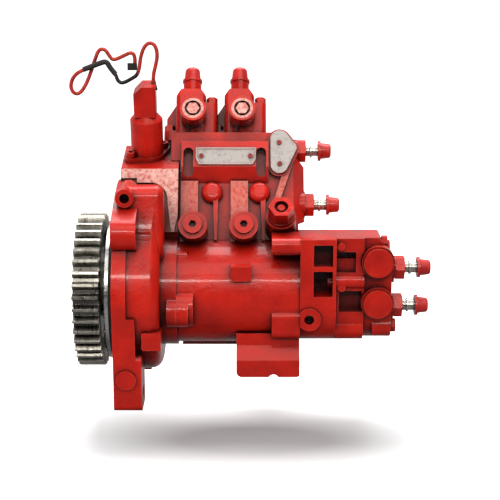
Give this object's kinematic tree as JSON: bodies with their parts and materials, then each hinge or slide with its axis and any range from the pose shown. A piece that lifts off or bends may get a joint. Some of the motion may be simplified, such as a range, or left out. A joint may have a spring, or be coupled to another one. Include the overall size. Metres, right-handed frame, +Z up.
{
  "type": "diesel injection pump",
  "caption": "Flange-mounted diesel injection pump with a drive gear, leaning plunger bank, delivery heads, metering actuator with pigtail and a gear-type feed pump.",
  "frame": {"origin": "where the shaft axis crosses the flange face that bolts to the engine", "axes": "+X along the shaft, away from the engine; +Z up; the pump's front, with the nameplate, is towards -Y"},
  "size_m": [0.3939, 0.2289, 0.3808],
  "materials": {
    "red_paint": "gloss red paint over cast metal",
    "red_gloss_plastic": "painted moulding",
    "red_plastic": "soft red plastic",
    "red_sleeving": "painted sleeving",
    "bright_steel": "machined",
    "dark_steel": "dark steel",
    "pale_aluminium": "turned",
    "bare_aluminium": "satin plate",
    "black_rubber": "matt",
    "black_plastic": "matt",
    "bronze": "bearing bronze"
  },
  "bodies": {
    "pump": {"actuator_body": "red_paint", "actuator_connector": "red_gloss_plastic", "actuator_screws": "red_paint", "bearing_cap": "pale_aluminium", "check_valve_plugs": "red_paint", "cover_plate": "bare_aluminium", "delivery_head_1": "red_paint", "delivery_head_2": "red_paint", "front_bearing": "bright_steel", "front_housing": "red_paint", "front_housing_screws": "dark_steel", "fuel_fittings": "bright_steel", "gallery_plugs": "red_paint", "gear_pump_body": "red_paint", "gear_pump_bolts": "red_paint", "gear_pump_cover": "red_paint", "head_bolts": "red_paint", "nameplate": "bare_aluminium", "overflow_valve": "red_paint", "pigtail_cord": "red_sleeving", "pigtail_plug": "black_plastic", "pilot_o_ring": "black_rubber", "plate_screws": "dark_steel", "plunger_barrel_1": "dark_steel", "plunger_barrel_2": "dark_steel", "pump_housing": "red_paint", "rear_bush": "bronze", "rear_housing": "red_paint", "rear_housing_bolt": "red_paint", "regulator_caps": "red_paint", "regulator_spring": "dark_steel", "shaft_seal": "black_rubber", "tappet_spring_1": "dark_steel", "tappet_spring_2": "dark_steel"},
    "shaft": {"camshaft": "dark_steel", "drive_gear": "bright_steel", "gear_nut": "dark_steel", "gear_key": "dark_steel", "pump_drive_gear": "bright_steel"},
    "driven_gear": {"pump_driven_gear": "bright_steel"},
    "tappet_1": {"tappet_1": "dark_steel", "roller_pin_1": "bright_steel", "plunger_1": "bright_steel"},
    "tappet_2": {"tappet_2": "dark_steel", "roller_pin_2": "bright_steel", "plunger_2": "bright_steel"},
    "roller_1": {"tappet_roller_1": "bright_steel"},
    "roller_2": {"tappet_roller_2": "bright_steel"},
    "inlet_valve_1": {"inlet_valve_1": "bright_steel"},
    "inlet_valve_2": {"inlet_valve_2": "bright_steel"},
    "regulator_piston": {"regulator_piston": "bright_steel"},
    "metering_spool": {"metering_spool": "bright_steel"},
    "outlet_cap_1": {"outlet_cap_1": "red_plastic"},
    "outlet_cap_2": {"outlet_cap_2": "red_plastic"},
    "fitting_cap_1": {"fitting_cap_1": "red_plastic"},
    "fitting_cap_2": {"fitting_cap_2": "red_plastic"},
    "fitting_cap_3": {"fitting_cap_3": "red_plastic"},
    "fitting_cap_4": {"fitting_cap_4": "red_plastic"}
  },
  "joints": [
    {"name": "camshaft_spin", "type": "hinge", "parent": "pump", "child": "shaft", "pos_m": [0, 0, 0], "axis": [1, 0, 0], "continuous": true},
    {"name": "driven_gear_spin", "type": "hinge", "parent": "pump", "child": "driven_gear", "pos_m": [0, 0, 0.0411], "axis": [1, 0, 0], "continuous": true},
    {"name": "tappet_1_stroke", "type": "slide", "parent": "pump", "child": "tappet_1", "axis": [0, 0.5, 0.866], "range_m": [0, 0.01], "stiffness_N_per_m": 6000, "springref_m": -0.008, "deforming": ["tappet_spring_1"]},
    {"name": "tappet_2_stroke", "type": "slide", "parent": "pump", "child": "tappet_2", "axis": [0, 0.5, 0.866], "range_m": [0, 0.01], "stiffness_N_per_m": 6000, "springref_m": -0.008, "deforming": ["tappet_spring_2"]},
    {"name": "tappet_1_roller_spin", "type": "hinge", "parent": "tappet_1", "child": "roller_1", "pos_m": [0.078, 0.02115, 0.03663], "axis": [1, 0, 0], "continuous": true},
    {"name": "tappet_2_roller_spin", "type": "hinge", "parent": "tappet_2", "child": "roller_2", "pos_m": [0.133, 0.02115, 0.03663], "axis": [1, 0, 0], "continuous": true},
    {"name": "inlet_valve_1_lift", "type": "slide", "parent": "pump", "child": "inlet_valve_1", "axis": [0, -0.866, 0.5], "range_m": [0, 0.0015], "stiffness_N_per_m": 400, "springref_m": -0.003},
    {"name": "inlet_valve_2_lift", "type": "slide", "parent": "pump", "child": "inlet_valve_2", "axis": [0, -0.866, 0.5], "range_m": [0, 0.0015], "stiffness_N_per_m": 400, "springref_m": -0.003},
    {"name": "regulator_piston_stroke", "type": "slide", "parent": "pump", "child": "regulator_piston", "axis": [0, -1, 0], "range_m": [0, 0.005], "stiffness_N_per_m": 1500, "springref_m": -0.003, "deforming": ["regulator_spring"]},
    {"name": "metering_spool_stroke", "type": "slide", "parent": "pump", "child": "metering_spool", "axis": [0, -0.2079, 0.9781], "range_m": [0, 0.004], "stiffness_N_per_m": 500, "springref_m": -0.004},
    {"name": "outlet_cap_1_pull", "type": "slide", "parent": "pump", "child": "outlet_cap_1", "axis": [0, 0.5, 0.866], "range_m": [0, 0.03]},
    {"name": "outlet_cap_2_pull", "type": "slide", "parent": "pump", "child": "outlet_cap_2", "axis": [0, 0.5, 0.866], "range_m": [0, 0.03]},
    {"name": "fitting_cap_1_pull", "type": "slide", "parent": "pump", "child": "fitting_cap_1", "axis": [1, 0, 0], "range_m": [0, 0.03]},
    {"name": "fitting_cap_2_pull", "type": "slide", "parent": "pump", "child": "fitting_cap_2", "axis": [1, 0, 0], "range_m": [0, 0.03]},
    {"name": "fitting_cap_3_pull", "type": "slide", "parent": "pump", "child": "fitting_cap_3", "axis": [1, 0, 0], "range_m": [0, 0.03]},
    {"name": "fitting_cap_4_pull", "type": "slide", "parent": "pump", "child": "fitting_cap_4", "axis": [1, 0, 0], "range_m": [0, 0.03]}
  ],
  "couplings": [
    {"joint": "driven_gear_spin", "follows": "camshaft_spin", "ratio": -1}
  ]
}
